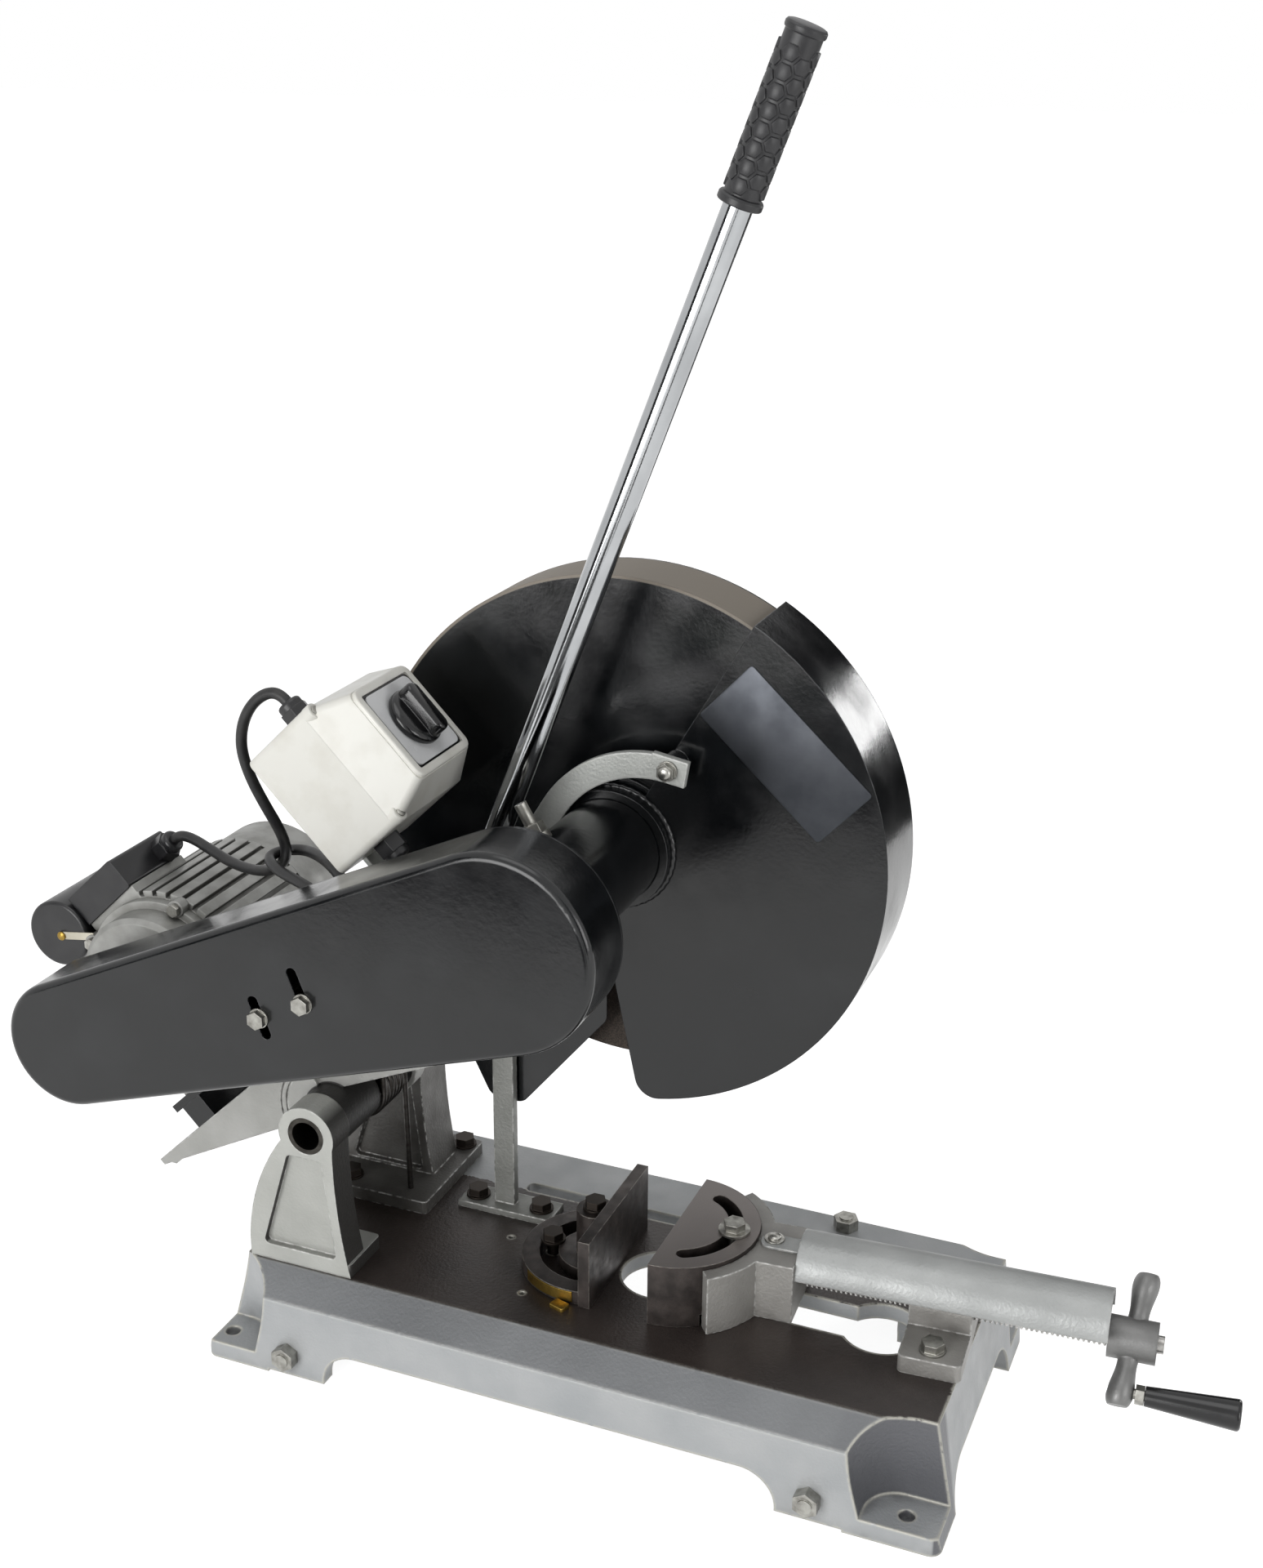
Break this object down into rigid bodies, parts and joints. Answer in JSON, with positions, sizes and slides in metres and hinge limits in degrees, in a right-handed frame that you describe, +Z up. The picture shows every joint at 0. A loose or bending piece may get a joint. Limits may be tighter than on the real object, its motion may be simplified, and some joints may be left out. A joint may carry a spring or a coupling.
{
  "type": "metal cut-off saw",
  "caption": "Belt-driven abrasive cut-off saw: cast bed with a swivelling screw vise, and a sprung rocker head carrying motor, guarded wheel, switch box and long pull-down lever.",
  "frame": {"origin": "middle of the four foot holes, on the floor", "axes": "+X along the bed towards the vise crank, +Y from the belt side towards the wheel side, +Z up"},
  "size_m": [1.0459, 0.4929, 1.0751],
  "materials": {
    "grey_enamel": "silver-grey enamel on rough castings",
    "silver_enamel": "silver-grey enamel on bar steel",
    "machined_iron": "bare machined iron, oiled and darkened",
    "black_enamel": "gloss black enamel on sheet steel",
    "zinc_steel": "bright zinc-plated steel",
    "turned_steel": "turned and ground steel",
    "spring_steel": "oiled black spring wire",
    "bronze": "sintered bronze",
    "chrome": "polished chrome tube",
    "cast_aluminium": "cast aluminium with a rough skin",
    "motor_paint": "silver-grey paint on sheet steel",
    "black_rubber": "moulded black rubber",
    "belt_rubber": "cloth-faced belt rubber",
    "cable_jacket": "black cable jacket",
    "ivory_abs": "moulded ivory ABS",
    "black_plastic": "moulded black plastic",
    "silver_plate": "satin aluminium plate",
    "abrasive": "resin-bonded abrasive with a fine open grain"
  },
  "bodies": {
    "base": {"bed_casting": "grey_enamel", "near_pedestal": "grey_enamel", "far_pedestal": "grey_enamel", "pivot_tube": "turned_steel", "bed_bolts": "zinc_steel", "bed_studs": "zinc_steel", "link_post": "silver_enamel", "torsion_spring": "spring_steel", "screw_bracket": "grey_enamel", "mains_lead": "cable_jacket", "lead_coil": "cable_jacket", "mains_plug": "black_plastic"},
    "fence": {"swivel_fence": "machined_iron"},
    "carriage": {"jaw_carrier": "grey_enamel", "jaw_clamp_bolt": "zinc_steel", "screw_cover": "silver_enamel"},
    "jaw": {"moving_jaw": "machined_iron"},
    "screw": {"vise_screw": "turned_steel", "crank_arm": "cast_aluminium", "crank_pin": "zinc_steel"},
    "grip": {"crank_grip": "black_plastic"},
    "head": {"rocker_arm": "grey_enamel", "pivot_bushes": "bronze", "spindle_housing": "black_enamel", "spindle_bearings": "turned_steel", "lock_stud": "zinc_steel", "motor_plate": "black_enamel", "motor_housing": "cast_aluminium", "motor_stator": "turned_steel", "motor_bells": "cast_aluminium", "fan_cover": "motor_paint", "terminal_box": "black_plastic", "capacitor": "black_plastic", "belt_cover": "black_enamel", "belt_back_plate": "black_enamel", "drive_belts": "belt_rubber", "fixed_guard": "black_enamel", "guard_side_cover": "black_enamel", "head_bolts": "zinc_steel", "cover_screws": "zinc_steel", "handle_tube": "chrome", "handle_grip": "black_rubber", "switch_bracket": "silver_enamel", "switch_box": "ivory_abs", "switch_lid": "ivory_abs", "switch_plate": "silver_plate", "cable_glands": "black_plastic", "motor_lead": "cable_jacket"},
    "spindle": {"spindle_shaft": "turned_steel", "spindle_pulley": "turned_steel", "wheel_flanges": "turned_steel", "spindle_nut": "turned_steel", "abrasive_wheel": "abrasive"},
    "rotor": {"motor_rotor": "turned_steel", "motor_pulley": "turned_steel", "motor_fan": "black_plastic"},
    "swing_guard": {"swing_guard": "black_enamel", "link_bolt": "zinc_steel"},
    "link": {"guard_link": "silver_enamel"},
    "knob": {"switch_knob": "black_plastic"}
  },
  "joints": [
    {"name": "head_pivot", "type": "hinge", "parent": "base", "child": "head", "pos_m": [-0.218, 0, 0.222], "axis": [0, 1, 0], "range_deg": [0, 35], "stiffness_Nm_per_rad": 60, "springref_deg": -40.11, "deforming": ["torsion_spring", "mains_lead"]},
    {"name": "swing_guard_turn", "type": "hinge", "parent": "head", "child": "swing_guard", "pos_m": [-0.0087, 0, 0.4563], "axis": [0, 1, 0], "range_deg": [-64, 0]},
    {"name": "guard_link_turn", "type": "hinge", "parent": "swing_guard", "child": "link", "pos_m": [0.04353, 0, 0.53373], "axis": [0, 1, 0], "range_deg": [0, 72.5]},
    {"name": "spindle_spin", "type": "hinge", "parent": "head", "child": "spindle", "pos_m": [-0.0087, 0, 0.4563], "axis": [0, 1, 0], "continuous": true},
    {"name": "motor_spin", "type": "hinge", "parent": "head", "child": "rotor", "pos_m": [-0.388, 0, 0.307], "axis": [0, 1, 0], "continuous": true},
    {"name": "jaw_slide", "type": "slide", "parent": "base", "child": "carriage", "axis": [-0.9981, -0.061, 0], "range_m": [-0.06, 0.04]},
    {"name": "vise_screw_turn", "type": "hinge", "parent": "carriage", "child": "screw", "pos_m": [0.067, -0.017, 0.123], "axis": [-0.9981, -0.061, 0], "range_deg": [-5401, 3601]},
    {"name": "crank_grip_spin", "type": "hinge", "parent": "screw", "child": "grip", "pos_m": [0.434, -0.02137, 0.09327], "axis": [0.9981, 0.061, 0], "continuous": true},
    {"name": "jaw_swivel", "type": "hinge", "parent": "carriage", "child": "jaw", "pos_m": [0.067, -0.017, 0.1], "axis": [0, 0, 1], "range_deg": [-45, 45]},
    {"name": "fence_swivel", "type": "hinge", "parent": "base", "child": "fence", "pos_m": [-0.0045, -0.022, 0.1], "axis": [0, 0, 1], "range_deg": [-45, 45]},
    {"name": "switch_turn", "type": "hinge", "parent": "head", "child": "knob", "pos_m": [-0.166, -0.063, 0.546], "axis": [0.7133, 0, 0.7009], "range_deg": [0, 90]}
  ],
  "couplings": [
    {"joint": "swing_guard_turn", "follows": "head_pivot", "ratio": -1.79},
    {"joint": "guard_link_turn", "follows": "head_pivot", "ratio": 2.038},
    {"joint": "motor_spin", "follows": "spindle_spin", "ratio": 1.268},
    {"joint": "vise_screw_turn", "follows": "jaw_slide", "rad_per_m": 1570.8}
  ]
}
